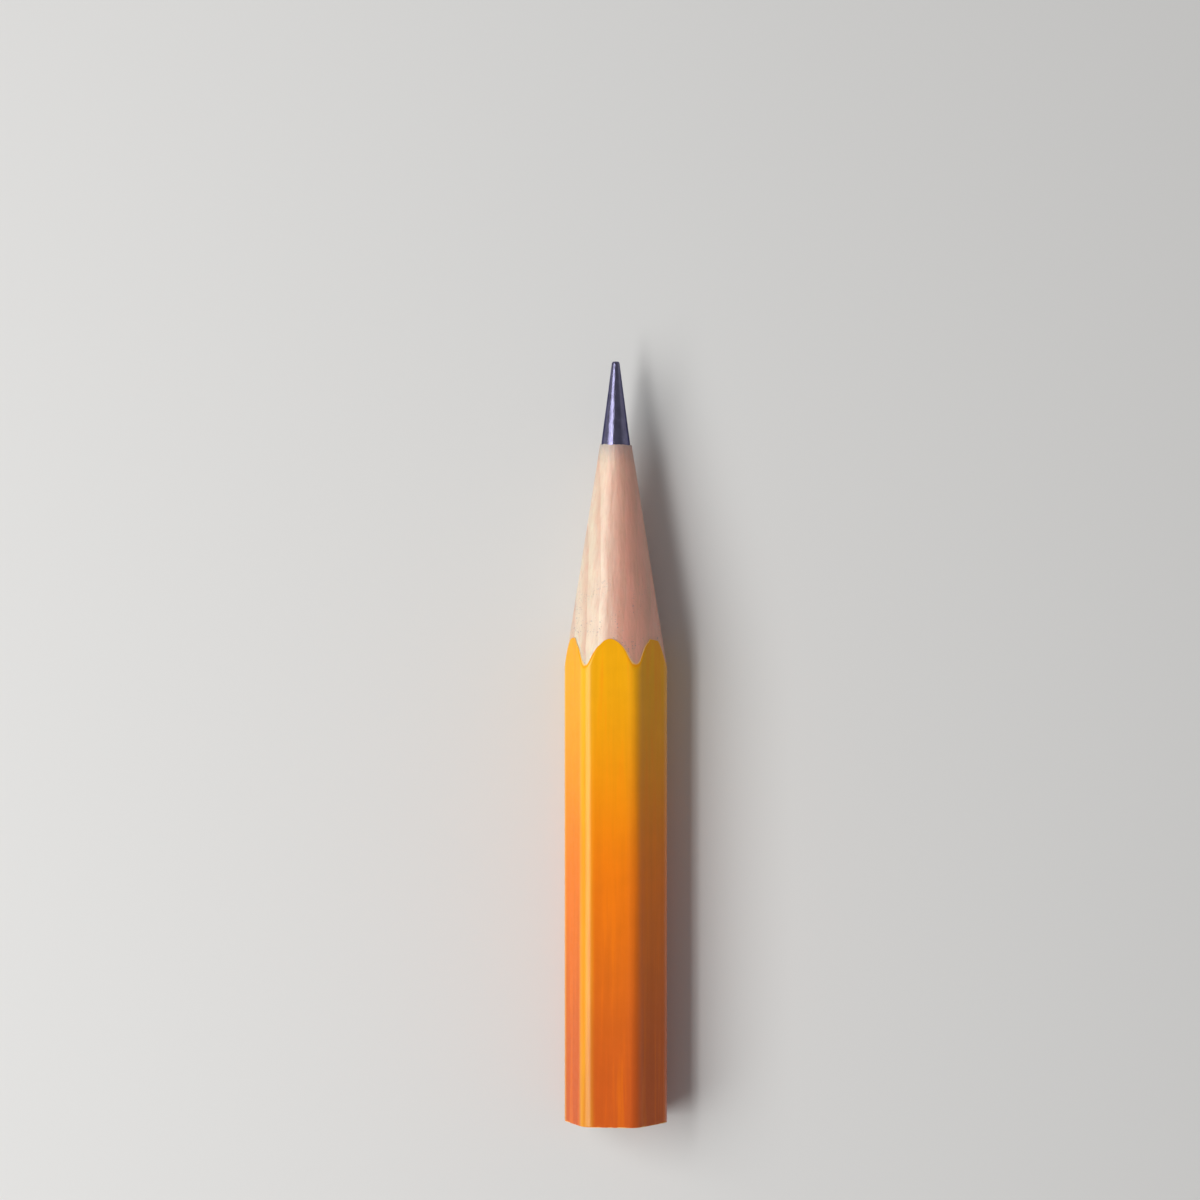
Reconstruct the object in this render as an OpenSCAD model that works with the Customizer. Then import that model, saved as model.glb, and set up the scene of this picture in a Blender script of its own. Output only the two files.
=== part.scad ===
// Sharpened wood-cased pencil stub, lying on one flat of its hexagonal body.
// The point looks along +Y, and the origin is on the resting plane under the middle of the stub.
// It is built as a pencil is made: two grooved slats glued round a lead, milled to a hexagon,
// lacquered, and then cut to a cone by a sharpener.

/* [Body] */
// Width of the lacquered body across two opposite flats
across_flats = 7.1; // [6.6:0.1:7.6]
// Radius that rounds each of the six long ridges, over the lacquer
ridge_r = 1.1; // [0.5:0.1:1.6]
// Whole length, from the worn point to the sawn end
overall_l = 58; // [45:1:120]
// Thickness of the lacquer, all coats together
lacquer_t = 0.08; // [0.05:0.01:0.15]

/* [Lead] */
// Diameter of the lead
lead_d = 2.2; // [2:0.1:2.6]
// Glue film left between the lead and its groove, all round
bond_gap = 0.02; // [0.01:0.01:0.04]

/* [Point] */
// Full angle of the cone that the sharpener cuts in the wood
wood_cone_deg = 18; // [16:0.5:26]
// Thickness of the wood lip where the lead comes out
lip_t = 0.1; // [0.08:0.01:0.2]
// Length of bare lead that stands out of the wood
lead_out = 6.3; // [4:0.1:8]
// Diameter of the point, where it is worn blunt
tip_d = 0.6; // [0.4:0.05:0.9]
// Radius that rounds the edge of the worn point
tip_round = 0.18; // [0.05:0.01:0.18]

/* [Hidden] */

round_fn = 96;
// Straight steps that make up the arc of one ridge, and the one at the worn point
ridge_steps = 8;
tip_steps = 6;
// How far a cutting tool reaches past the solid that it cuts
past = 1;

groove_r = lead_d / 2 + bond_gap;
lip_r = groove_r + lip_t;
mouth_z = overall_l - lead_out;
cone_foot_r = lip_r + mouth_z * tan(wood_cone_deg / 2);
wood_flats = across_flats - 2 * lacquer_t;
wood_ridge_r = ridge_r - lacquer_t;
// Wide enough to hold one whole slat on its side of the glue plane
half_box = 2 * across_flats;

// Lays what is modelled upright, point up, along +Y with its lower flat on the resting plane
module lie_down()
    translate([0, -overall_l / 2, across_flats / 2])
        rotate([-90, 0, 0])
            children();

// Hexagon with rounded corners and two flats facing +Y and -Y
module rounded_hexagon(flats, corner_r) {
    corner_at = (flats / 2 - corner_r) / cos(30);
    polygon([
        for (corner = [0:5])
            for (step = [0:ridge_steps])
                let (turn = corner * 60 - 30 + step * 60 / ridge_steps)
                    corner_at * [cos(corner * 60), sin(corner * 60)]
                        + corner_r * [cos(turn), sin(turn)]
    ]);
}

// All that the sharpener leaves of a bar, apart from the lead
module sharpened_envelope()
    cylinder(h = mouth_z, r1 = cone_foot_r, r2 = lip_r, $fn = round_fn);

// One half of the casing; side is 1 for the half towards +Y and -1 for the other
module slat(side)
    difference() {
        intersection() {
            linear_extrude(mouth_z)
                rounded_hexagon(wood_flats, wood_ridge_r);
            sharpened_envelope();
            translate([-half_box / 2, side > 0 ? 0 : -half_box, 0])
                cube([half_box, half_box, mouth_z]);
        }
        translate([0, 0, -past])
            cylinder(h = mouth_z + 2 * past, r = groove_r, $fn = round_fn);
    }

module upper_slat()
    color([0.87, 0.66, 0.50])
        lie_down()
            slat(-1);

module lower_slat()
    color([0.83, 0.61, 0.46])
        lie_down()
            slat(1);

// A full-length rod, tapered where it is bare and rounded at its worn point
module lead() {
    tip_r = tip_d / 2;
    arc_at = [tip_r - tip_round, overall_l - tip_round];
    color([0.13, 0.13, 0.22])
        lie_down()
            rotate_extrude($fn = round_fn)
                polygon(concat(
                    [[0, 0], [lead_d / 2, 0], [lead_d / 2, mouth_z]],
                    [for (step = [0:tip_steps])
                        let (turn = step * 90 / tip_steps)
                            arc_at + tip_round * [cos(turn), sin(turn)]],
                    [[0, overall_l]]
                ));
}

// The coat over the milled body; the sharpener's cone leaves its end scalloped
module lacquer_coat()
    color([1.00, 0.66, 0.02])
        lie_down()
            intersection() {
                difference() {
                    linear_extrude(mouth_z)
                        rounded_hexagon(across_flats, ridge_r);
                    translate([0, 0, -past])
                        linear_extrude(mouth_z + 2 * past)
                            rounded_hexagon(wood_flats, wood_ridge_r);
                }
                sharpened_envelope();
            }

upper_slat();
lower_slat();
lead();
lacquer_coat();
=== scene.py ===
"""Sharpened hexagonal pencil stub: its wood, lead and lacquer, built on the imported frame."""
from math import atan2, cos, pi, radians, sin, sqrt

import bmesh
import bpy
from bpy.props import FloatProperty, FloatVectorProperty, IntProperty, PointerProperty
from mathutils import Matrix, Vector, noise


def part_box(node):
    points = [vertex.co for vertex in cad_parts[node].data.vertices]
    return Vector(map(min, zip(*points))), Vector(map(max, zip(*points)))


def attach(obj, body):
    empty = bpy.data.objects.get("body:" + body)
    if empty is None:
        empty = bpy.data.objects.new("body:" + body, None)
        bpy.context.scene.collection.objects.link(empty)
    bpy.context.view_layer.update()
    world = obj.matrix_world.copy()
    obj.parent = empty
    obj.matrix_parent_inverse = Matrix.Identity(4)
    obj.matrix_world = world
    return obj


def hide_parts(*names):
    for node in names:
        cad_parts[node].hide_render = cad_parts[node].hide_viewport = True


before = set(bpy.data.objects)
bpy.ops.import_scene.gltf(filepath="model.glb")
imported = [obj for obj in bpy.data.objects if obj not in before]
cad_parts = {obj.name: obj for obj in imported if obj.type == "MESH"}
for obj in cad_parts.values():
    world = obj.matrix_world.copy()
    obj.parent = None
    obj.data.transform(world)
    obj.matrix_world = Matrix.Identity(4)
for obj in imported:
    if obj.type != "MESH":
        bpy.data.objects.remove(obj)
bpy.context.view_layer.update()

bl_info = {
    "name": "Pencil stub",
    "version": (1, 0, 0),
    "blender": (4, 5, 0),
    "location": "3D View > Sidebar > Pencil stub",
    "description": "Builds the wood, lead and lacquer of a sharpened hexagonal pencil stub, and its studio",
    "category": "Add Mesh",
}

MM = 0.001
BACKDROP = (0.62, 0.62, 0.61)
SKY_OVERHEAD = (0.24, 0.24, 0.25)
SKY_LIGHT = (0.23, 0.23, 0.235)
GRIME = (0.20, 0.19, 0.25)
# Paler yellow of the painted highlight on the ridges towards the lamps
PAINTED_HIGHLIGHT_YELLOW = (0.95, 0.55, 0.02)
SAW_LEAN = 35
COAT_LOW, COAT_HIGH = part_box("lacquer_coat")
SLAT_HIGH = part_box("upper_slat")[1]
LEAD_LOW, LEAD_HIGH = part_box("lead")


# ---------------------------------------------------------------- sizes and colours

class StubSizes(bpy.types.PropertyGroup):
    """Sizes of the stub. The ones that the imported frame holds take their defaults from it"""
    across_flats: FloatProperty(
        name="Across flats", unit="LENGTH", default=COAT_HIGH.z - COAT_LOW.z,
        description="Width of the lacquered body across two opposite flats")
    across_ridges: FloatProperty(
        name="Across ridges", unit="LENGTH", default=COAT_HIGH.x - COAT_LOW.x,
        description="Width of the lacquered body across two opposite ridges")
    lacquer_t: FloatProperty(
        name="Lacquer", unit="LENGTH", default=COAT_HIGH.z - SLAT_HIGH.z,
        description="Thickness of all coats of lacquer together")
    lead_d: FloatProperty(
        name="Lead", unit="LENGTH", default=LEAD_HIGH.x - LEAD_LOW.x,
        description="Diameter of the lead")
    sawn_y: FloatProperty(
        name="Sawn end", unit="LENGTH", default=LEAD_LOW.y,
        description="Place of the sawn end along the stub")
    mouth_y: FloatProperty(
        name="Mouth", unit="LENGTH", default=SLAT_HIGH.y,
        description="Place along the stub where the lead comes out of the wood")
    point_y: FloatProperty(
        name="Point", unit="LENGTH", default=LEAD_HIGH.y,
        description="Place of the worn point along the stub")
    scallop_y: FloatProperty(
        name="Scallops", unit="LENGTH", default=COAT_HIGH.y,
        description="Place along the stub where the cone meets the middle of each flat of the wood")
    bond_gap: FloatProperty(
        name="Glue film", unit="LENGTH", default=0.02 * MM, min=0.0,
        description="Film of glue between the lead and its groove")
    lip_t: FloatProperty(
        name="Lip", unit="LENGTH", default=0.1 * MM, min=0.0,
        description="Thickness of the wood's lip round the lead at the mouth")
    tip_d: FloatProperty(
        name="Tip", unit="LENGTH", default=0.6 * MM, min=0.0,
        description="Diameter of the point, where it is worn blunt")
    tip_round: FloatProperty(
        name="Tip rounding", unit="LENGTH", default=0.18 * MM, min=0.0,
        description="Radius that rounds the edge of the worn point")
    points_round: IntProperty(
        name="Points round", default=240, min=24,
        description="Points in each ring of the mesh, a multiple of four")


class StubWear(bpy.types.PropertyGroup):
    """How far the surfaces depart from their plain form"""
    broken_back: FloatProperty(
        name="Broken edge", unit="LENGTH", default=0.12 * MM, min=0.0,
        description="How far the lacquer's thin edge is broken back from the cut, all round")
    broken_peaks: FloatProperty(
        name="Broken peaks", unit="LENGTH", default=0.5 * MM, min=0.0,
        description="How much further it is broken back at the middle of each flat")
    chips: FloatProperty(
        name="Chips", unit="LENGTH", default=0.2 * MM, min=0.0,
        description="Size of the small chips along the lacquer's cut edge")
    waviness: FloatProperty(
        name="Waviness", unit="LENGTH", default=0.006 * MM, min=0.0,
        description="Height of the slow waves in the lacquer")
    fibres: FloatProperty(
        name="Fibres", unit="LENGTH", default=0.012 * MM, min=0.0,
        description="Height of the wood's fibres on the sharpened cone")
    last_cut: FloatProperty(
        name="Last cut", unit="LENGTH", default=0.03 * MM, min=0.0,
        description="Height of the step that the blade left where it stopped")
    seam: FloatProperty(
        name="Seam", unit="LENGTH", default=0.02 * MM, min=0.0,
        description="Depth of the glue seam where the two slats meet")
    saw_marks: FloatProperty(
        name="Saw marks", unit="LENGTH", default=0.035 * MM, min=0.0,
        description="Depth of the marks that the saw left across the end")


class StubColours(bpy.types.PropertyGroup):
    """Colours of the finishes"""
    lacquer: FloatVectorProperty(
        name="Lacquer", subtype="COLOR", min=0.0, max=1.0, default=(0.91, 0.41, 0.003),
        description="Yellow-orange of the lacquer near the scallops")
    # The middle and deep lacquer colours are painted shade: they darken the lacquer towards the sawn end,
    # standing in for light that falls off along the body. The middle one also colours a coat in the cut
    # edge.
    lacquer_mid: FloatVectorProperty(
        name="Middle lacquer", subtype="COLOR", min=0.0, max=1.0, default=(0.90, 0.205, 0.002),
        description="Orange of the lacquer half way along the body")
    lacquer_painted_shade: FloatVectorProperty(
        name="Deep lacquer", subtype="COLOR", min=0.0, max=1.0, default=(0.62, 0.10, 0.012),
        description="Deep, handled orange of the lacquer at the sawn end")
    undercoat: FloatVectorProperty(
        name="Undercoat", subtype="COLOR", min=0.0, max=1.0, default=(0.93, 0.60, 0.22),
        description="Pale ground coats that show in the cut edge")
    wood: FloatVectorProperty(
        name="Wood", subtype="COLOR", min=0.0, max=1.0, default=(0.80, 0.67, 0.51),
        description="Pale cream early wood")
    # This pink-brown is painted shade: it covers the +X side of both slats, away from the lamps, while the
    # cream wood stays on the lit side.
    wood_painted_shade: FloatVectorProperty(
        name="Heartwood", subtype="COLOR", min=0.0, max=1.0, default=(0.80, 0.37, 0.28),
        description="Pink-brown of the cedar's heartwood, which shows on one side of each slat")
    late_wood: FloatVectorProperty(
        name="Late wood", subtype="COLOR", min=0.0, max=1.0, default=(0.63, 0.33, 0.23),
        description="Darker late wood of each growth ring")
    lead: FloatVectorProperty(
        name="Lead", subtype="COLOR", min=0.0, max=1.0, default=(0.155, 0.148, 0.235),
        description="Blue-black of the lead")
    floor: FloatVectorProperty(
        name="Floor", subtype="COLOR", min=0.0, max=1.0, default=(0.67, 0.665, 0.65),
        description="Pale floor and backdrop")


# ---------------------------------------------------------------- form

class Form:
    """The stub's surfaces, worked out from its sizes, in metres round the lead's axis"""

    def __init__(self, sizes):
        self.axis_z = sizes.across_flats / 2
        self.half_flats = sizes.across_flats / 2
        corner_share = 1 / cos(radians(30))
        self.ridge_r = (self.half_flats * corner_share - sizes.across_ridges / 2) / (corner_share - 1)
        self.lacquer_t = sizes.lacquer_t
        self.lead_r = sizes.lead_d / 2
        self.bore_r = self.lead_r + sizes.bond_gap
        self.lip_r = self.bore_r + sizes.lip_t
        self.sawn_y = sizes.sawn_y
        self.mouth_y = sizes.mouth_y
        self.point_y = sizes.point_y
        self.slope = (self.half_flats - self.lacquer_t - self.lip_r) / (self.mouth_y - sizes.scallop_y)

    def hexagon(self, angle, inset=0.0):
        """Radius of the rounded hexagon at an angle from +X, with every wall moved in by inset"""
        off_ridge = abs((angle + pi / 6) % (pi / 3) - pi / 6)
        flats = self.half_flats - inset
        ridge_r = self.ridge_r - inset
        centre = (flats - ridge_r) / cos(pi / 6)
        arc_ends = atan2(ridge_r * sin(pi / 6), centre + ridge_r * cos(pi / 6))
        if off_ridge > arc_ends:
            return flats / cos(pi / 6 - off_ridge)
        return centre * cos(off_ridge) + sqrt(ridge_r ** 2 - (centre * sin(off_ridge)) ** 2)

    def cone(self, y):
        """Radius of the sharpener's cone at y"""
        return self.lip_r + (self.mouth_y - y) * self.slope

    def cut(self, radius):
        """Place along the stub where the sharpener's cone has this radius"""
        return self.mouth_y - (radius - self.lip_r) / self.slope


def blend(low, high, share):
    return low + (high - low) * share


def on_axis(form, angle, radius, y):
    return Vector((radius * cos(angle), y, form.axis_z + radius * sin(angle)))


def texture(point, across, along, offset=0.0):
    """Noise from about -1 to 1, with this many features to the millimetre across and along the stub"""
    scaled = Vector((point.x * across, point.y * along, point.z * across)) / MM
    return noise.noise(scaled + Vector((offset, offset, offset)))


def round_noise(angle, waves, offset):
    """Noise from about -1 to 1 that closes on itself round the stub"""
    reach = waves / (2 * pi)
    return noise.noise(Vector((cos(angle) * reach, sin(angle) * reach, offset)))


# ---------------------------------------------------------------- rings of mesh

def place(form, ring, rule):
    """Moves each point of a ring to the radius and the place along the stub that rule gives its angle"""
    for point in ring:
        angle = atan2(point.co.z - form.axis_z, point.co.x) % (2 * pi)
        radius, y = rule(angle)
        point.co = on_axis(form, angle, radius, y)


def first_ring(bm, form, count, rule):
    """Makes a closed ring of points round the lead's axis, and returns its edges"""
    upright = Matrix.Translation((0, 0, form.axis_z)) @ Matrix.Rotation(radians(90), 4, "X")
    ring = bmesh.ops.create_circle(bm, segments=count, radius=MM, matrix=upright)["verts"]
    place(form, ring, rule)
    return bm.edges[:]


def next_ring(bm, form, edges, rule, layer=None, mark=0.0):
    """Extrudes a ring into the next one, and returns the new ring's edges"""
    made = bmesh.ops.extrude_edge_only(bm, edges=edges)["geom"]
    ring = [part for part in made if isinstance(part, bmesh.types.BMVert)]
    place(form, ring, rule)
    if layer:
        for point in ring:
            point[layer] = mark
    return [part for part in made if isinstance(part, bmesh.types.BMEdge)]


def finish_piece(bm, name, node, material, crease_deg=35):
    """Closes and smooths a mesh, makes it a piece, and seats it in the frame"""
    bmesh.ops.remove_doubles(bm, verts=bm.verts, dist=0.0001 * MM)
    bmesh.ops.recalc_face_normals(bm, faces=bm.faces)
    for face in bm.faces:
        face.smooth = True
    for edge in bm.edges:
        edge.smooth = edge.calc_face_angle(0.0) < radians(crease_deg)
    mesh = bpy.data.meshes.new(name)
    bm.to_mesh(mesh)
    bm.free()
    mesh.materials.append(material)
    piece = bpy.data.objects.new(name, mesh)
    bpy.context.scene.collection.objects.link(piece)
    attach(piece, "root")
    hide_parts(node)
    return piece


# ---------------------------------------------------------------- shader nodes

def put(tree, kind, inputs=None, **settings):
    """Adds a node; an input that is a socket is linked, and any other is set"""
    made = tree.nodes.new(kind)
    for name, value in settings.items():
        setattr(made, name, value)
    for name, value in (inputs or {}).items():
        if isinstance(value, bpy.types.NodeSocket):
            tree.links.new(value, made.inputs[name])
        else:
            made.inputs[name].default_value = value
    return made


def calc(tree, operation, *values, clamp=False):
    """Adds a maths node and returns its result"""
    made = put(tree, "ShaderNodeMath", dict(enumerate(values)), operation=operation, use_clamp=clamp)
    return made.outputs[0]


def ramp(tree, value, low, high, to_low=0.0, to_high=1.0):
    """Turns a value's range from low to high into a smooth step from to_low to to_high"""
    inputs = {"Value": value, "From Min": low, "From Max": high, "To Min": to_low, "To Max": to_high}
    return put(tree, "ShaderNodeMapRange", inputs, interpolation_type="SMOOTHSTEP").outputs["Result"]


def mix(tree, share, first, second, blend_type="MIX"):
    """Mixes two colours by a share from 0 to 1"""
    made = put(tree, "ShaderNodeMix", data_type="RGBA", blend_type=blend_type)
    for socket, value in ((made.inputs[0], share), (made.inputs[6], first), (made.inputs[7], second)):
        if isinstance(value, bpy.types.NodeSocket):
            tree.links.new(value, socket)
        else:
            socket.default_value = value
    return made.outputs[2]


def rgba(colour):
    return (*colour, 1.0)


def new_group(name, inputs, outputs):
    """Starts a node group, and returns its tree, the sockets that feed it and the ones that it fills"""
    tree = bpy.data.node_groups.new(name, "ShaderNodeTree")
    for socket, kind in inputs.items():
        tree.interface.new_socket(name=socket, in_out="INPUT", socket_type="NodeSocket" + kind)
    for socket, kind in outputs.items():
        tree.interface.new_socket(name=socket, in_out="OUTPUT", socket_type="NodeSocket" + kind)
    return tree, tree.nodes.new("NodeGroupInput").outputs, tree.nodes.new("NodeGroupOutput").inputs


def use_group(tree, name, **inputs):
    """Places a node group in a material with its own values, and returns its outputs"""
    made = tree.nodes.new("ShaderNodeGroup")
    made.node_tree = bpy.data.node_groups[name]
    for socket, value in inputs.items():
        target = made.inputs[socket.replace("_", " ")]
        if isinstance(value, bpy.types.NodeSocket):
            tree.links.new(value, target)
        else:
            target.default_value = value
    return made.outputs


def make_streaks_group():
    """Fine lines along the stub: fibres in the wood, scratches in the lead, grain under the lacquer"""
    tree, given, result = new_group(
        "streaks", {"Vector": "Vector", "Across": "Float", "Along": "Float", "Detail": "Float"},
        {"Lines": "Float"})
    scale = put(tree, "ShaderNodeCombineXYZ", {
        "X": given["Across"], "Y": given["Along"], "Z": given["Across"]})
    drawn_out = put(
        tree, "ShaderNodeVectorMath", {0: given["Vector"], 1: scale.outputs[0]}, operation="MULTIPLY")
    lines = put(tree, "ShaderNodeTexNoise", {
        "Vector": drawn_out.outputs[0], "Scale": 1.0, "Detail": given["Detail"], "Roughness": 0.6})
    tree.links.new(lines.outputs["Fac"], result["Lines"])


def make_mottle_group():
    """Soft uneven patches"""
    tree, given, result = new_group(
        "mottle", {"Vector": "Vector", "Scale": "Float", "Low": "Float", "High": "Float"},
        {"Patches": "Float"})
    patches = put(tree, "ShaderNodeTexNoise", {
        "Vector": given["Vector"], "Scale": given["Scale"], "Detail": 3.0, "Roughness": 0.55})
    stretched = put(tree, "ShaderNodeMapRange", {
        "Value": patches.outputs["Fac"], "From Min": 0.3, "From Max": 0.7,
        "To Min": given["Low"], "To Max": given["High"]})
    tree.links.new(stretched.outputs["Result"], result["Patches"])


def make_rings_group():
    """Growth rings round a distant pith, dark where the late wood is"""
    tree, given, result = new_group(
        "growth rings", {"Vector": "Vector", "Pith": "Vector", "Spacing": "Float", "Wobble": "Float"},
        {"Late wood": "Float"})
    flat = put(tree, "ShaderNodeVectorMath", {0: given["Vector"], 1: (1.0, 0.0, 1.0)}, operation="MULTIPLY")
    away = put(tree, "ShaderNodeVectorMath", {0: flat.outputs[0], 1: given["Pith"]}, operation="DISTANCE")
    slow = put(tree, "ShaderNodeTexNoise", {"Vector": given["Vector"], "Scale": 0.18, "Detail": 2.0})
    shift = calc(tree, "MULTIPLY", slow.outputs["Fac"], given["Wobble"])
    count = calc(tree, "DIVIDE", calc(tree, "ADD", away.outputs["Value"], shift), given["Spacing"])
    phase = calc(tree, "FRACT", count)
    rise = ramp(tree, phase, 0.25, 0.93)
    fall = ramp(tree, phase, 0.94, 1.0, 1.0, 0.0)
    tree.links.new(calc(tree, "MULTIPLY", rise, fall), result["Late wood"])


def make_reach_group():
    """A patchy film that is thickest at one place along the stub and thins out from there"""
    tree, given, result = new_group(
        "reach", {"Vector": "Vector", "From": "Float", "To": "Float", "Patchiness": "Float"},
        {"Film": "Float"})
    along = put(tree, "ShaderNodeSeparateXYZ", {"Vector": given["Vector"]}).outputs["Y"]
    patches = put(tree, "ShaderNodeTexNoise", {"Vector": given["Vector"], "Scale": 1.6, "Detail": 4.0})
    uneven = calc(tree, "SUBTRACT", patches.outputs["Fac"], 0.5)
    pushed = calc(tree, "MULTIPLY", uneven, given["Patchiness"])
    film = put(tree, "ShaderNodeMapRange", {
        "Value": calc(tree, "ADD", along, pushed), "From Min": given["From"], "From Max": given["To"],
        "To Min": 1.0, "To Max": 0.0})
    tree.links.new(film.outputs["Result"], result["Film"])


def make_flecks_group():
    """Small flecks of graphite and dirt that gather in loose clusters"""
    tree, given, result = new_group(
        "flecks", {"Vector": "Vector", "Scale": "Float", "Share": "Float"}, {"Specks": "Float"})
    dots = put(tree, "ShaderNodeTexNoise", {
        "Vector": given["Vector"], "Scale": given["Scale"], "Detail": 1.0})
    cluster = put(tree, "ShaderNodeTexNoise", {"Vector": given["Vector"], "Scale": 0.6, "Detail": 2.0})
    speck = put(tree, "ShaderNodeMapRange", {
        "Value": dots.outputs["Fac"], "From Min": given["Share"],
        "From Max": calc(tree, "ADD", given["Share"], 0.06)}).outputs["Result"]
    gathered = ramp(tree, cluster.outputs["Fac"], 0.45, 0.6)
    tree.links.new(calc(tree, "MULTIPLY", speck, gathered), result["Specks"])


def make_saw_group():
    """Straight scratches across the sawn end, with a mask of the end itself"""
    tree, given, result = new_group(
        "saw marks", {"Vector": "Vector", "End": "Float", "Across": "Float"},
        {"Marks": "Float", "Face": "Float"})
    along = put(tree, "ShaderNodeSeparateXYZ", {"Vector": given["Vector"]}).outputs["Y"]
    face = ramp(tree, calc(tree, "SUBTRACT", along, given["End"]), 0.1, 0.3, 1.0, 0.0)
    turned = put(tree, "ShaderNodeMapping", {
        "Vector": given["Vector"], "Rotation": (radians(90), 0.0, radians(SAW_LEAN))}).outputs["Vector"]
    scale = put(tree, "ShaderNodeCombineXYZ", {"X": given["Across"], "Y": 0.3, "Z": 0.3})
    drawn_out = put(tree, "ShaderNodeVectorMath", {0: turned, 1: scale.outputs[0]}, operation="MULTIPLY")
    lines = put(tree, "ShaderNodeTexNoise", {
        "Vector": drawn_out.outputs[0], "Scale": 1.0, "Detail": 3.0, "Roughness": 0.6})
    tree.links.new(calc(tree, "MULTIPLY", lines.outputs["Fac"], face), result["Marks"])
    tree.links.new(face, result["Face"])


def new_material(name):
    """Starts a material and returns it, its tree and its Principled shader"""
    made = bpy.data.materials.new(name)
    made.use_nodes = True
    tree = made.node_tree
    tree.nodes.clear()
    shader = put(tree, "ShaderNodeBsdfPrincipled")
    put(tree, "ShaderNodeOutputMaterial", {"Surface": shader.outputs[0]})
    return made, tree, shader


def axis_vector(tree, form):
    """Object coordinates in millimetres from the lead's axis"""
    place_on = put(tree, "ShaderNodeTexCoord").outputs["Object"]
    centred = put(tree, "ShaderNodeMapping", {
        "Vector": place_on, "Location": (0, 0, -form.axis_z / MM), "Scale": (1 / MM,) * 3})
    return centred.outputs["Vector"]


def bump(tree, height, depth, under=None):
    """A bump of this depth in metres, over another one if there is one"""
    inputs = {"Height": height, "Distance": depth}
    if under:
        inputs["Normal"] = under
    return put(tree, "ShaderNodeBump", inputs).outputs["Normal"]


def seen_directly(tree):
    """1 for the rays of the camera, of reflections and through glass, and 0 for all other light"""
    rays = put(tree, "ShaderNodeLightPath").outputs
    shown = calc(tree, "MAXIMUM", rays["Is Camera Ray"], rays["Is Glossy Ray"])
    return calc(tree, "MAXIMUM", shown, rays["Is Transmission Ray"])


def wood_material(form, colours, name, pith, spacing):
    """Bare cedar with fibres, growth rings, flecks and graphite dust at the mouth, and painted shade that
    turns it from cream to pink-brown towards +X
    """
    made, tree, shader = new_material(name)
    vector = axis_vector(tree, form)
    rings = use_group(
        tree, "growth rings", Vector=vector, Pith=pith, Spacing=spacing, Wobble=0.7)["Late wood"]
    fibres = use_group(tree, "streaks", Vector=vector, Across=7.0, Along=0.35, Detail=4.0)["Lines"]
    broad = use_group(tree, "streaks", Vector=vector, Across=1.6, Along=0.08, Detail=2.0)["Lines"]
    patches = use_group(tree, "mottle", Vector=vector, Scale=0.5, Low=0.95, High=1.04)["Patches"]
    dust = use_group(
        tree, "reach", Vector=vector, From=form.mouth_y / MM + 0.1, To=form.mouth_y / MM - 1.6,
        Patchiness=1.4)["Film"]
    saw = use_group(tree, "saw marks", Vector=vector, End=form.sawn_y / MM, Across=6.0)
    late_on_cone, late_on_end = 0.38, 0.7
    late = calc(tree, "MULTIPLY", rings, ramp(tree, saw["Face"], 0.0, 1.0, late_on_cone, late_on_end))
    streaked = calc(tree, "ADD", late, ramp(tree, fibres, 0.45, 0.75, 0.0, 0.3))
    streaked = calc(tree, "ADD", streaked, ramp(tree, broad, 0.35, 0.7, 0.0, 0.18), clamp=True)
    # Painted shade: the wood turns from cream to pink-brown towards +X, the side away from the lamps, made
    # uneven by the broad streaks.
    sideways = put(tree, "ShaderNodeSeparateXYZ", {"Vector": vector}).outputs["X"]
    sideways = calc(tree, "ADD", sideways, calc(tree, "MULTIPLY", broad, 1.5))
    shade_paint_begins, shade_paint_whole = -0.9, 2.2
    painted_shade_share = ramp(tree, sideways, shade_paint_begins, shade_paint_whole)
    colour = mix(tree, painted_shade_share, rgba(colours.wood), rgba(colours.wood_painted_shade))
    colour = mix(tree, streaked, colour, rgba(colours.late_wood))
    colour = mix(tree, 1.0, colour, patches, "MULTIPLY")
    foot = form.cut(form.half_flats) / MM
    handled_for = 6.0
    grime_and_shade = use_group(
        tree, "reach", Vector=vector, From=foot, To=foot + handled_for, Patchiness=2.0)["Film"]
    specks = use_group(tree, "flecks", Vector=vector, Scale=7.0, Share=0.63)["Specks"]
    fleck_strength, dust_strength = 0.7, 0.45
    specks = calc(tree, "MULTIPLY", specks, calc(tree, "MULTIPLY", grime_and_shade, fleck_strength, clamp=True))
    colour = mix(tree, specks, colour, rgba(GRIME))
    dusty = calc(tree, "MULTIPLY", dust, dust_strength, clamp=True)
    colour = mix(tree, dusty, colour, rgba(GRIME))
    colour = mix(tree, ramp(tree, saw["Marks"], 0.4, 0.7, 0.0, 0.25), colour, rgba(colours.late_wood))
    tree.links.new(colour, shader.inputs["Base Color"])
    tree.links.new(ramp(tree, fibres, 0.3, 0.7, 0.33, 0.45), shader.inputs["Roughness"])
    grain = bump(tree, fibres, 0.02 * MM)
    tree.links.new(bump(tree, saw["Marks"], 0.05 * MM, grain), shader.inputs["Normal"])
    shader.inputs["Specular IOR Level"].default_value = 1.0
    shader.inputs["Specular Tint"].default_value = (1.0, 0.97, 0.85, 1.0)
    shader.inputs["Subsurface Weight"].default_value = 0.4
    shader.inputs["Subsurface Radius"].default_value = (1.0, 0.3, 0.2)
    shader.inputs["Subsurface Scale"].default_value = 0.9 * MM
    return made


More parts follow.
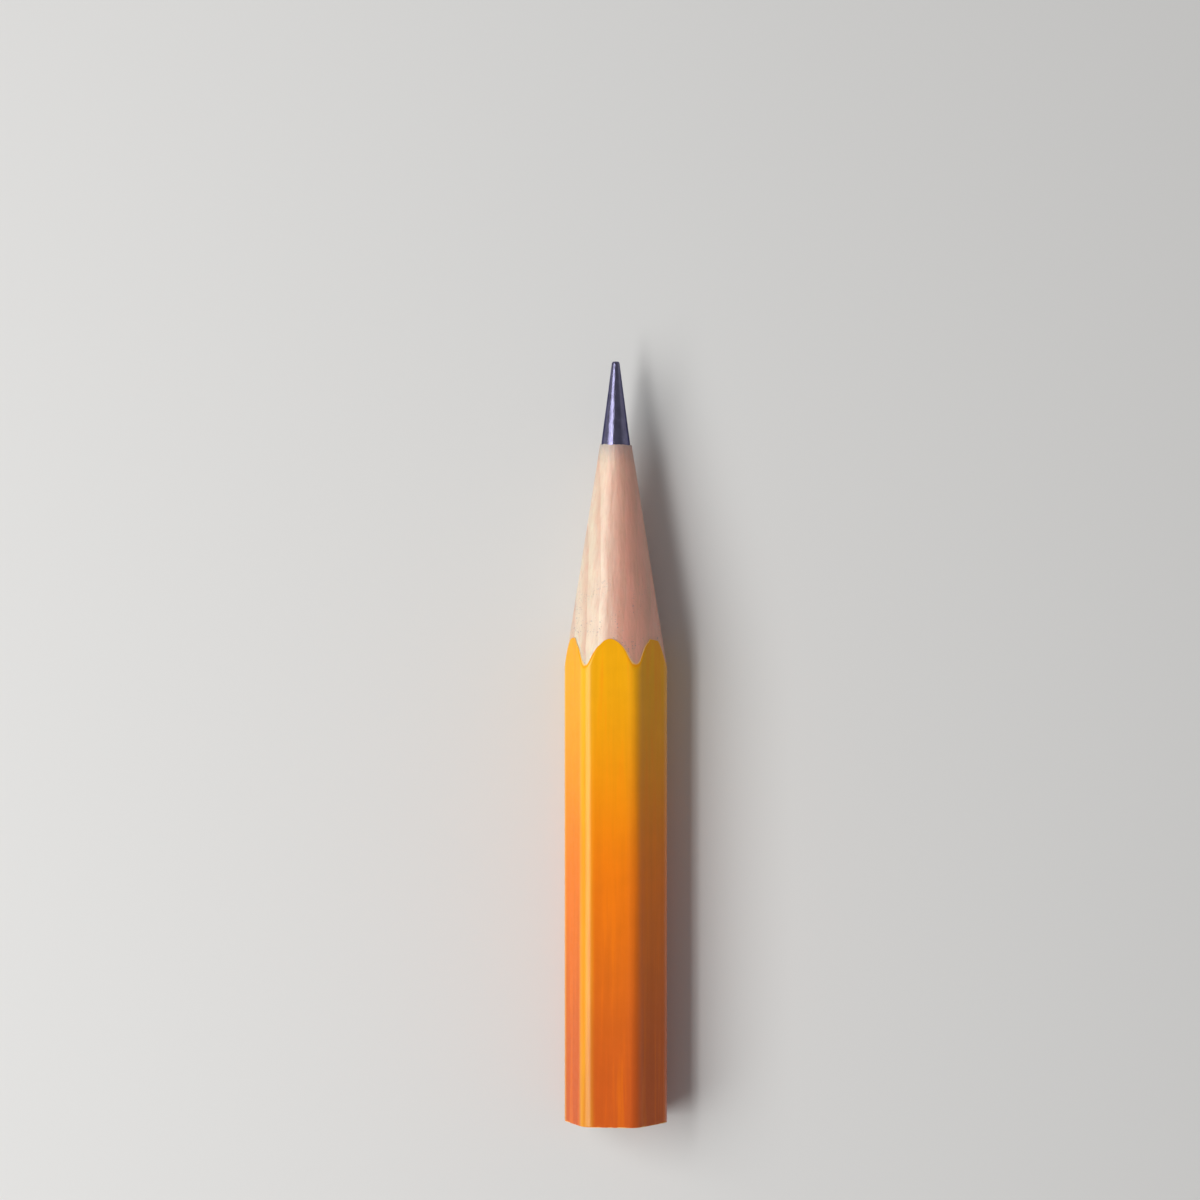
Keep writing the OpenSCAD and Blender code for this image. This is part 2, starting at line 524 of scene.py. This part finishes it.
def lead_material(form, colours):
    """Burnished lead with fine scratches along it"""
    made, tree, shader = new_material("graphite")
    vector = axis_vector(tree, form)
    scratches = use_group(tree, "streaks", Vector=vector, Across=14.0, Along=0.8, Detail=3.0)["Lines"]
    patches = use_group(tree, "mottle", Vector=vector, Scale=1.5, Low=0.82, High=1.18)["Patches"]
    tree.links.new(mix(tree, 1.0, rgba(colours.lead), patches, "MULTIPLY"), shader.inputs["Base Color"])
    tree.links.new(ramp(tree, scratches, 0.3, 0.7, 0.1, 0.22), shader.inputs["Roughness"])
    saw = use_group(tree, "saw marks", Vector=vector, End=form.sawn_y / MM, Across=12.0)
    drawn = calc(tree, "MULTIPLY", scratches, calc(tree, "SUBTRACT", 1.0, saw["Face"]))
    scored = bump(tree, drawn, 0.012 * MM)
    tree.links.new(bump(tree, saw["Marks"], 0.03 * MM, scored), shader.inputs["Normal"])
    shader.inputs["Metallic"].default_value = 0.9
    shader.inputs["Specular IOR Level"].default_value = 0.3
    shader.inputs["Specular Tint"].default_value = (0.10, 0.12, 0.28, 1.0)
    return made


def lacquer_material(form, colours):
    """Satin lacquer, burnished on its ridges, with a paler painted highlight on the ridges towards the
    lamps, painted shade that deepens it towards the sawn end, and pale ground coats in its cut edge
    """
    made, tree, shader = new_material("lacquer")
    vector = axis_vector(tree, form)
    across = put(tree, "ShaderNodeVectorMath", {0: vector, 1: (1.0, 0.0, 1.0)}, operation="MULTIPLY")
    from_axis = put(tree, "ShaderNodeVectorMath", {0: across.outputs[0]}, operation="LENGTH")
    from_axis = from_axis.outputs["Value"]
    half_ridges = form.hexagon(0.0) / MM
    ridge = ramp(tree, from_axis, blend(form.half_flats / MM, half_ridges, 0.4), half_ridges)
    place_on = put(tree, "ShaderNodeSeparateXYZ", {"Vector": vector}).outputs
    begins, ends = form.cut(form.half_flats) / MM, form.sawn_y / MM
    # Painted shade: the lacquer darkens from yellow-orange through orange to deep orange towards the sawn
    # end.
    middle, overlap = -8.0, 4.0
    painted_shade_to_middle = ramp(tree, place_on["Y"], begins, middle - overlap)
    colour = mix(tree, painted_shade_to_middle, rgba(colours.lacquer), rgba(colours.lacquer_mid))
    grime_and_shade = ramp(tree, place_on["Y"], middle + overlap, ends)
    colour = mix(tree, grime_and_shade, colour, rgba(colours.lacquer_painted_shade))
    strokes = use_group(tree, "streaks", Vector=vector, Across=1.4, Along=0.06, Detail=3.0)["Lines"]
    patches = use_group(tree, "mottle", Vector=vector, Scale=0.5, Low=0.97, High=1.03)["Patches"]
    colour = mix(tree, 1.0, colour, patches, "MULTIPLY")
    colour = mix(tree, 1.0, colour, ramp(tree, strokes, 0.3, 0.7, 0.95, 1.04), "MULTIPLY")
    # Painted highlight: the ridges on the -X side, towards the lamps, are painted a paler yellow.
    painted_ridge_highlight = calc(tree, "MULTIPLY", ridge, ramp(tree, place_on["X"], 0.5, -1.5, 0.0, 0.5))
    painted_ridge_highlight = calc(tree, "MULTIPLY", painted_ridge_highlight, ramp(tree, strokes, 0.3, 0.6, 0.5, 1.0))
    colour = mix(tree, painted_ridge_highlight, colour, rgba(PAINTED_HIGHLIGHT_YELLOW))
    cut = put(tree, "ShaderNodeAttribute", attribute_name="cut").outputs["Fac"]
    layers = calc(tree, "ADD", cut, ramp(tree, strokes, 0.3, 0.7, -0.25, 0.25))
    colour = mix(tree, ramp(tree, layers, 0.05, 0.3, 0.0, 0.35), colour, rgba(colours.lacquer_mid))
    colour = mix(tree, ramp(tree, layers, 0.55, 0.9), colour, rgba(colours.undercoat))
    peel = use_group(tree, "mottle", Vector=vector, Scale=2.2, Low=0.0, High=1.0)["Patches"]
    tree.links.new(colour, shader.inputs["Base Color"])
    worn = ramp(tree, peel, 0.2, 0.9, 0.29, 0.36)
    tree.links.new(calc(tree, "ADD", worn, calc(tree, "MULTIPLY", cut, 0.25)), shader.inputs["Roughness"])
    tree.links.new(bump(tree, peel, 0.002 * MM, bump(tree, strokes, 0.006 * MM)), shader.inputs["Normal"])
    flat_gloss, ridge_gloss = 0.1, 0.6
    gloss = ramp(tree, ridge, 0.0, 1.0, flat_gloss, ridge_gloss)
    gloss = calc(tree, "MULTIPLY", gloss, ramp(tree, cut, 0.0, 0.3, 1.0, 0.0))
    tree.links.new(gloss, shader.inputs["Coat Weight"])
    shader.inputs["Coat Roughness"].default_value = 0.24
    shader.inputs["Coat IOR"].default_value = 1.45
    shader.inputs["Specular IOR Level"].default_value = 0.2
    shader.inputs["Specular Tint"].default_value = (1.0, 0.78, 0.25, 1.0)
    return made


# ---------------------------------------------------------------- pieces

class PENCIL_OT_lacquer(bpy.types.Operator):
    """Adds the sleeve of lacquer, with its scalloped and slightly broken edge"""
    bl_idname = "pencil.lacquer"
    bl_label = "Add lacquer"

    def execute(self, context):
        sizes, wear = context.scene.stub_sizes, context.scene.stub_wear
        form = Form(sizes)
        body_rings, cut_rings = 120, 3
        edge_t, rim_t, saw_tear = 0.03 * MM, 0.01 * MM, 0.04 * MM
        bm = bmesh.new()
        cut_layer = bm.verts.layers.float.new("cut")

        def broken_y(angle):
            """Where the lacquer ends, a little behind the wood's own cut"""
            inner = form.hexagon(angle, form.lacquer_t)
            off_middle = abs(angle % (pi / 3) - pi / 6) / (pi / 6)
            back = wear.broken_back + wear.broken_peaks * cos(off_middle * pi / 2) ** 2
            coarse = round_noise(angle, waves=40, offset=3.1)
            fine = round_noise(angle, waves=66, offset=6.4)
            bites = max(0.0, round_noise(angle, waves=24, offset=8.7) - 0.3)
            back += wear.chips * (0.6 * coarse + 0.55 * fine)
            back += 1.5 * wear.chips * bites
            return form.cut(inner) - max(back, 0.0)

        def outer_y(angle):
            """Where the cut starts on the outer surface"""
            return min(form.cut(form.hexagon(angle)), broken_y(angle) - edge_t)

        def sawn_y(angle):
            """Where the outer surface starts, a little torn by the saw"""
            torn = 0.9 * wear.chips * max(0.0, round_noise(angle, waves=46, offset=5.5) + 0.1)
            return form.sawn_y + saw_tear + torn

        def outer(share):
            def rule(angle):
                y = blend(sawn_y(angle), outer_y(angle), share)
                radius = form.hexagon(angle)
                point = on_axis(form, angle, radius, y)
                swell = wear.waviness * texture(point, across=0.35, along=0.12, offset=5.0)
                swell += 0.4 * wear.waviness * texture(point, across=2.2, along=0.2, offset=11.0)
                return radius + swell, y
            return rule

        def cut_band(share):
            def rule(angle):
                y = blend(outer_y(angle), broken_y(angle), share)
                return min(form.hexagon(angle), form.cone(y)), y
            return rule

        def inner(share):
            def rule(angle):
                y = blend(broken_y(angle), form.sawn_y + rim_t, share)
                return form.hexagon(angle, form.lacquer_t), y
            return rule

        def rim(angle):
            return form.hexagon(angle, edge_t), form.sawn_y + rim_t

        start = first_ring(bm, form, sizes.points_round, rim)
        for point in bm.verts:
            point[cut_layer] = 1.0
        ring = start
        for step in range(body_rings + 1):
            ring = next_ring(bm, form, ring, outer(step / body_rings), cut_layer)
        for step in range(1, cut_rings + 1):
            ring = next_ring(bm, form, ring, cut_band(step / cut_rings), cut_layer, step / cut_rings)
        ring = next_ring(bm, form, ring, inner(0.0), cut_layer, 1.0)
        ring = next_ring(bm, form, ring, inner(0.5), cut_layer)
        ring = next_ring(bm, form, ring, inner(1.0), cut_layer)
        bmesh.ops.bridge_loops(bm, edges=start + ring)
        finish_piece(bm, "lacquer_sleeve", "lacquer_coat",
                     lacquer_material(form, context.scene.stub_colours))
        return {"FINISHED"}


class PENCIL_OT_wood(bpy.types.Operator):
    """Adds the two slats of the casing, sharpened to a cone and sawn off square"""
    bl_idname = "pencil.wood"
    bl_label = "Add wood"

    def execute(self, context):
        scene = context.scene
        sizes, wear, colours = scene.stub_sizes, scene.stub_wear, scene.stub_colours
        form = Form(sizes)
        slats = (
            ("upper", (0, 0, 1), (-27.0, 0.0, 5.0), 0.95),
            ("lower", (0, 0, -1), (12.0, 0.0, -21.0), 0.8),
        )
        for name, side, pith, spacing in slats:
            bm = bmesh.new()
            self.whole_casing(bm, form, sizes, wear)
            geometry = bm.verts[:] + bm.edges[:] + bm.faces[:]
            bmesh.ops.bisect_plane(
                bm, geom=geometry, dist=0.0001 * MM, plane_co=(0, 0, form.axis_z), plane_no=side,
                clear_inner=True)
            open_edges = [edge for edge in bm.edges if edge.is_boundary]
            bmesh.ops.holes_fill(bm, edges=open_edges)
            finish_piece(bm, name + "_wood", name + "_slat",
                         wood_material(form, colours, name + " cedar", pith, spacing))
        return {"FINISHED"}

    def whole_casing(self, bm, form, sizes, wear):
        """Models both slats as one closed casing with a bore"""
        slip = 0.004 * MM
        skin = form.lacquer_t + slip
        body_y, bore_y = form.sawn_y + 0.02 * MM, form.sawn_y + 0.03 * MM
        lip_back, lip_bevel, thinnest_lip = 0.08 * MM, 0.02 * MM, 0.03 * MM
        bore_bevel, edge_bevel = 0.02 * MM, 0.01 * MM
        cone_rings, face_rings = 90, 36
        blade_stopped, twist, twist_l = radians(250), 0.5, 14 * MM
        kerf_spacing = 0.42

        def scallop_y(angle):
            return form.cut(form.hexagon(angle, skin))

        def shaved(angle, y):
            """Radius of the sharpened cone, with its fibres, the blade's last step and the glue seam"""
            radius = form.cone(y)
            point = on_axis(form, angle, radius, y)
            radius += wear.fibres * texture(point, across=4.0, along=0.3)
            radius += 0.6 * wear.fibres * texture(point, across=1.2, along=0.1, offset=7.0)
            turn = (angle - blade_stopped + (form.mouth_y - y) / twist_l * twist) / (2 * pi) % 1
            radius -= wear.last_cut * turn
            if min(angle, abs(angle - pi), 2 * pi - angle) < pi / sizes.points_round:
                radius -= wear.seam
            return radius

        def body(share):
            return lambda angle: (form.hexagon(angle, skin), blend(body_y, scallop_y(angle), share))

        def lip_y(angle):
            ragged = round_noise(angle, waves=14, offset=1.7) * 0.10
            ragged += round_noise(angle, waves=50, offset=4.2) * 0.035
            return form.mouth_y - lip_back + ragged * MM

        def cone(share):
            def rule(angle):
                y = blend(scallop_y(angle), lip_y(angle), share)
                return max(shaved(angle, y), form.bore_r + thinnest_lip), y
            return rule

        def bore(share):
            return lambda angle: (form.bore_r, blend(lip_y(angle) - lip_bevel, bore_y, share))

        def sawn_face(share):
            def rule(angle):
                radius = blend(form.bore_r + bore_bevel, form.hexagon(angle, skin + edge_bevel), share)
                point = on_axis(form, angle, radius, form.sawn_y)
                lean = radians(SAW_LEAN)
                across = (point.x * cos(lean) + (point.z - form.axis_z) * sin(lean)) / MM
                drift = 1.5 * texture(point, across=0.5, along=0.0, offset=2.0)
                kerf = 0.5 + 0.5 * sin(across * 2 * pi / kerf_spacing + drift)
                depth = kerf + 0.4 * texture(point, across=5.0, along=0.0, offset=3.0) + 0.4
                return radius, form.sawn_y + wear.saw_marks * depth
            return rule

        start = first_ring(bm, form, sizes.points_round, body(0.0))
        ring = next_ring(bm, form, start, body(0.5))
        ring = next_ring(bm, form, ring, body(1.0))
        for step in range(1, cone_rings + 1):
            ring = next_ring(bm, form, ring, cone(step / cone_rings))
        for step in range(3):
            ring = next_ring(bm, form, ring, bore(step / 2))
        for step in range(face_rings + 1):
            ring = next_ring(bm, form, ring, sawn_face(step / face_rings))
        bmesh.ops.bridge_loops(bm, edges=start + ring)


class PENCIL_OT_lead(bpy.types.Operator):
    """Adds the lead, bare and tapered in front of the wood and worn blunt at its point"""
    bl_idname = "pencil.lead"
    bl_label = "Add lead"

    def execute(self, context):
        sizes = context.scene.stub_sizes
        form = Form(sizes)
        bm = bmesh.new()
        tip_r, tip_round = sizes.tip_d / 2, sizes.tip_round
        cone_ends = sizes.point_y - tip_round
        taper_begins, rim_y = form.mouth_y - 0.3 * MM, form.sawn_y + 0.04 * MM
        hub_r, bevel, end_back = 0.02 * MM, 0.015 * MM, 0.02 * MM
        end_rings, taper_rings, tip_rings = 6, 70, 6

        def scratched(angle, radius, y):
            point = on_axis(form, angle, radius, y)
            uneven = 0.004 * MM * texture(point, across=1.5, along=1.2, offset=4.0)
            return radius * (1 + 0.006 * texture(point, across=5.0, along=0.4, offset=9.0)) + uneven

        def taper(share):
            y = blend(taper_begins, cone_ends, share)
            past_mouth = max(0.0, (y - form.mouth_y) / (cone_ends - form.mouth_y))
            radius = blend(form.lead_r, tip_r, past_mouth)
            return lambda angle: (scratched(angle, radius, y), y)

        def tip(turn):
            radius = tip_r - tip_round + tip_round * cos(turn)
            y = cone_ends + tip_round * sin(turn)
            return lambda angle: (scratched(angle, radius, y), y)

        def sawn(share):
            radius = blend(hub_r, form.lead_r - bevel, share)

            def rule(angle):
                point = on_axis(form, angle, radius, form.sawn_y)
                rough = 0.01 * MM * texture(point, across=4.0, along=0.0, offset=6.0)
                return radius, form.sawn_y + end_back + rough
            return rule

        segments = sizes.points_round // 2
        ring = first_ring(bm, form, segments, sawn(0.0))
        bmesh.ops.contextual_create(bm, geom=ring)
        for step in range(1, end_rings + 1):
            ring = next_ring(bm, form, ring, sawn(step / end_rings))
        ring = next_ring(bm, form, ring, lambda angle: (form.lead_r, rim_y))
        for step in range(taper_rings + 1):
            ring = next_ring(bm, form, ring, taper(step / taper_rings))
        for step in range(1, tip_rings + 1):
            ring = next_ring(bm, form, ring, tip(radians(85) * step / tip_rings))
        for share in (0.6, 0.2):
            ring = next_ring(bm, form, ring, lambda angle, share=share: (
                (tip_r - tip_round) * share, sizes.point_y))
        bmesh.ops.contextual_create(bm, geom=ring)
        finish_piece(bm, "graphite_core", "lead",
                     lead_material(form, context.scene.stub_colours))
        return {"FINISHED"}


# ---------------------------------------------------------------- stage

class PENCIL_OT_stage(bpy.types.Operator):
    """Adds the floor, the lights and the camera"""
    bl_idname = "pencil.stage"
    bl_label = "Add stage"

    def execute(self, context):
        scene = context.scene
        form = Form(scene.stub_sizes)
        self.floor(scene)
        self.world(scene)
        aim = Vector((0, 0, form.axis_z))
        self.lamp(scene, "key", aim, lean_deg=42, ahead=-0.04, distance=0.34, width=0.19, length=0.40,
                  watts=0.94)
        self.lamp(scene, "strip", aim, lean_deg=25, ahead=-0.04, distance=0.33, width=0.06, length=0.40,
                  watts=0.40)
        self.camera(scene, form)
        scene.view_settings.view_transform = "Standard"
        return {"FINISHED"}

    def floor(self, scene):
        """A pale floor that runs out into the pale backdrop far from the stub"""
        bm = bmesh.new()
        bmesh.ops.create_circle(bm, cap_ends=True, segments=96, radius=6.0)
        mesh = bpy.data.meshes.new("floor")
        bm.to_mesh(mesh)
        bm.free()
        made, tree, shader = new_material("floor")
        shader.inputs["Base Color"].default_value = rgba(scene.stub_colours.floor)
        shader.inputs["Roughness"].default_value = 0.8
        shader.inputs["Specular IOR Level"].default_value = 0.2
        place_on = put(tree, "ShaderNodeTexCoord").outputs["Object"]
        away = put(tree, "ShaderNodeVectorMath", {0: place_on}, operation="LENGTH").outputs["Value"]
        fade_begins, fade_ends = 0.07, 0.28
        far = calc(tree, "MULTIPLY", ramp(tree, away, fade_begins, fade_ends), seen_directly(tree))
        backdrop = put(tree, "ShaderNodeEmission", {"Color": rgba(BACKDROP), "Strength": 1.0})
        surface = put(tree, "ShaderNodeMixShader", {0: far, 1: shader.outputs[0], 2: backdrop.outputs[0]})
        output = next(node for node in tree.nodes if node.type == "OUTPUT_MATERIAL")
        tree.links.new(surface.outputs[0], output.inputs["Surface"])
        mesh.materials.append(made)
        floor = bpy.data.objects.new("floor", mesh)
        scene.collection.objects.link(floor)

    def world(self, scene):
        """Pale where the camera and reflections see it near the horizon, and dim as a light"""
        world = bpy.data.worlds.new("studio")
        scene.world = world
        world.use_nodes = True
        tree = world.node_tree
        tree.nodes.clear()
        direction = put(tree, "ShaderNodeTexCoord").outputs["Generated"]
        height = put(tree, "ShaderNodeSeparateXYZ", {"Vector": direction}).outputs["Z"]
        horizon_ends, overhead_begins = 0.15, 0.6
        overhead = ramp(tree, height, horizon_ends, overhead_begins)
        seen = mix(tree, overhead, rgba(BACKDROP), rgba(SKY_OVERHEAD))
        colour = mix(tree, seen_directly(tree), rgba(SKY_LIGHT), seen)
        sky = put(tree, "ShaderNodeBackground", {"Color": colour, "Strength": 1.0})
        put(tree, "ShaderNodeOutputWorld", {"Surface": sky.outputs[0]})

    def lamp(self, scene, name, aim, lean_deg, ahead, distance, width, length, watts):
        """A soft lamp over the left side, leaning from the vertical; ahead counts towards the point"""
        light = bpy.data.lights.new(name, "AREA")
        light.shape = "RECTANGLE"
        light.size = width
        light.size_y = length
        light.energy = watts
        lamp = bpy.data.objects.new(name, light)
        lean = radians(lean_deg)
        lamp.location = aim + Vector((-sin(lean) * distance, ahead, cos(lean) * distance))
        lamp.rotation_euler = (0, -lean, 0)
        scene.collection.objects.link(lamp)

    def camera(self, scene, form):
        lens = bpy.data.cameras.new("camera")
        lens.lens = 110
        lens.sensor_width = 36
        lens.clip_start = 0.005
        tilt = radians(7)
        width, ahead, aside = 91.6 * MM, 10.8 * MM, 1.2 * MM
        right = Vector((cos(tilt), 0, -sin(tilt)))
        back = Vector((sin(tilt), 0, cos(tilt)))
        aim = Vector((0, ahead, form.axis_z)) - aside * right
        camera = bpy.data.objects.new("camera", lens)
        camera.location = aim + back * (width * lens.lens / lens.sensor_width)
        camera.rotation_euler = Matrix((right, (0, 1, 0), back)).transposed().to_euler()
        scene.collection.objects.link(camera)
        scene.camera = camera


class PENCIL_PT_panel(bpy.types.Panel):
    """Lists the stub's pieces, sizes and colours"""
    bl_idname = "PENCIL_PT_panel"
    bl_label = "Pencil stub"
    bl_space_type = "VIEW_3D"
    bl_region_type = "UI"
    bl_category = "Pencil stub"

    def draw(self, context):
        layout = self.layout
        for operator in OPERATORS:
            layout.operator(operator.bl_idname)
        for group in (context.scene.stub_sizes, context.scene.stub_wear, context.scene.stub_colours):
            box = layout.box()
            for name in group.__annotations__:
                box.prop(group, name)


GROUPS = {"stub_sizes": StubSizes, "stub_wear": StubWear, "stub_colours": StubColours}
OPERATORS = (PENCIL_OT_lead, PENCIL_OT_wood, PENCIL_OT_lacquer, PENCIL_OT_stage)
CLASSES = (*GROUPS.values(), *OPERATORS, PENCIL_PT_panel)


def register():
    for part in CLASSES:
        bpy.utils.register_class(part)
    for name, group in GROUPS.items():
        setattr(bpy.types.Scene, name, PointerProperty(type=group))


def unregister():
    for name in GROUPS:
        delattr(bpy.types.Scene, name)
    for part in reversed(CLASSES):
        bpy.utils.unregister_class(part)


def main():
    register()
    make_streaks_group()
    make_mottle_group()
    make_rings_group()
    make_reach_group()
    make_flecks_group()
    make_saw_group()
    bpy.ops.pencil.lead()
    bpy.ops.pencil.wood()
    bpy.ops.pencil.lacquer()
    bpy.ops.pencil.stage()


if __name__ == "__main__":
    main()
